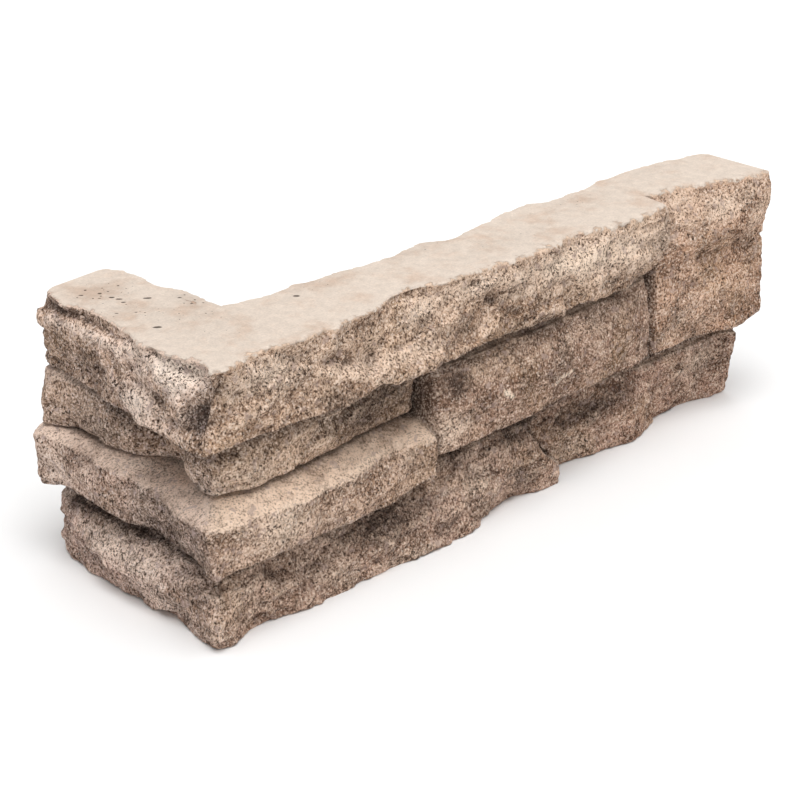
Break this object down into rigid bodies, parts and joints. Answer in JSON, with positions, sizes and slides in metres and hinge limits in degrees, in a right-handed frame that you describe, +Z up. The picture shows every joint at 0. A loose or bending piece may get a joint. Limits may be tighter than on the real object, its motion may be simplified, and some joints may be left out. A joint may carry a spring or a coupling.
{
  "type": "stone cladding corner piece",
  "caption": "L-shaped corner piece of ledge-stone wall cladding, cast in one: courses of rough split stone turn round the outer corner, the back is flat.",
  "frame": {"origin": "centre of the footprint's box, on the bed that the piece stands on", "axes": "+X along the long leg towards its flat end, +Y along the short leg away from the outer corner, +Z up; the rough outer faces look to -Y and -X"},
  "size_m": [0.2916, 0.1022, 0.1],
  "materials": {
    "cast_stone": "rough cast sandstone look, matt, buff and grey, with a paler flat top"
  },
  "bodies": {
    "root": {"cladding_corner": "cast_stone"}
  },
  "joints": []
}
